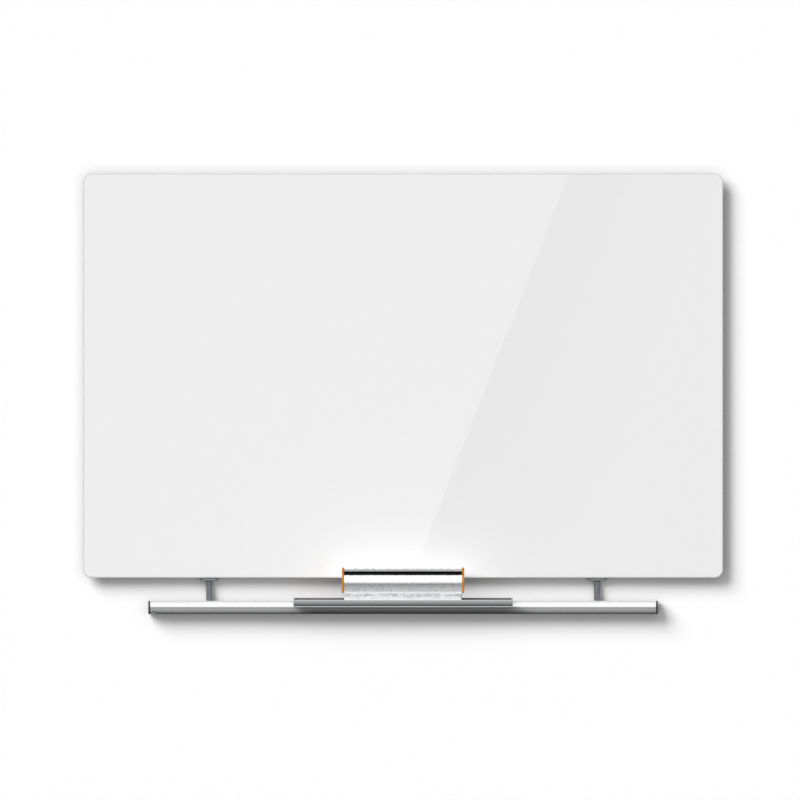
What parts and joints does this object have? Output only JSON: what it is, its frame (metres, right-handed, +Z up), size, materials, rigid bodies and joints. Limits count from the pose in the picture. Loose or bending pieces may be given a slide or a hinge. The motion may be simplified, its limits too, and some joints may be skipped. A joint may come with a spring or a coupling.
{
  "type": "magnetic glass board",
  "caption": "Frameless wall-hung magnetic glass writing board with a cleat, an accessory rail on turned posts, a sliding caddy and a magnetic eraser.",
  "frame": {"origin": "middle of the wall cleat's back face, on the wall, 90 mm below the top edge of the glass", "axes": "+Z up, +X to the right of someone who faces the board, +Y into the wall; the glass faces -Y"},
  "size_m": [0.9144, 0.0828, 0.6296],
  "materials": {
    "board_glass": "clear toughened glass, painted opaque white on the back, polished edges",
    "galvanised_steel": "galvanised sheet with a faint spangle",
    "mill_aluminium": "plain extruded, fine lines along the length",
    "turned_steel": "turned, satin, slightly blue grey",
    "zinc_steel": "bright zinc plated",
    "rail_aluminium": "satin anodised, fine lines along the length",
    "dark_plastic": "moulded, fine matt grain",
    "caddy_aluminium": "satin anodised grey",
    "grey_plastic": "moulded, fine matt grain",
    "white_nylon": "moulded, slightly waxy",
    "black_rubber": "moulded, fine ribs",
    "eraser_aluminium": "brushed along the length, bright",
    "white_plastic": "moulded, satin",
    "felt": "dense wool felt, light grey",
    "orange_plastic": "moulded orange, satin gloss",
    "nickel_magnet": "nickel plated"
  },
  "bodies": {
    "wall": {"wall_cleat": "mill_aluminium"},
    "board": {"hanger_rail": "mill_aluminium", "glass_panel": "board_glass", "steel_sheet": "galvanised_steel", "bottom_channel": "mill_aluminium", "bumper_left": "black_rubber", "bumper_right": "black_rubber", "post_left": "turned_steel", "post_right": "turned_steel", "post_washer_left": "zinc_steel", "post_washer_right": "zinc_steel", "post_nut_left": "zinc_steel", "post_nut_right": "zinc_steel", "tray_rail": "rail_aluminium", "rail_end_cap_left": "dark_plastic", "rail_end_cap_right": "dark_plastic", "rail_screw_left": "zinc_steel", "rail_screw_right": "zinc_steel"},
    "caddy": {"caddy_tray": "caddy_aluminium", "caddy_end_cap_left": "grey_plastic", "caddy_end_cap_right": "grey_plastic", "caddy_glide_left": "white_nylon", "caddy_glide_right": "white_nylon"},
    "eraser": {"eraser_handle": "eraser_aluminium", "eraser_pad_carrier": "white_plastic", "eraser_felt_pad": "felt", "eraser_grip_front": "black_rubber", "eraser_grip_back": "black_rubber", "eraser_end_cap_left": "orange_plastic", "eraser_end_cap_right": "orange_plastic", "eraser_magnet_left": "nickel_magnet", "eraser_magnet_right": "nickel_magnet"}
  },
  "joints": [
    {"name": "board_lift", "type": "slide", "parent": "wall", "child": "board", "axis": [0, 0, 1], "range_m": [0, 0.016]},
    {"name": "caddy_slide", "type": "slide", "parent": "board", "child": "caddy", "axis": [1, 0, 0], "range_m": [-0.2063, 0.2063]},
    {"name": "eraser_lift", "type": "slide", "parent": "caddy", "child": "eraser", "axis": [0, 0, 1], "range_m": [0, 0.06]}
  ]
}
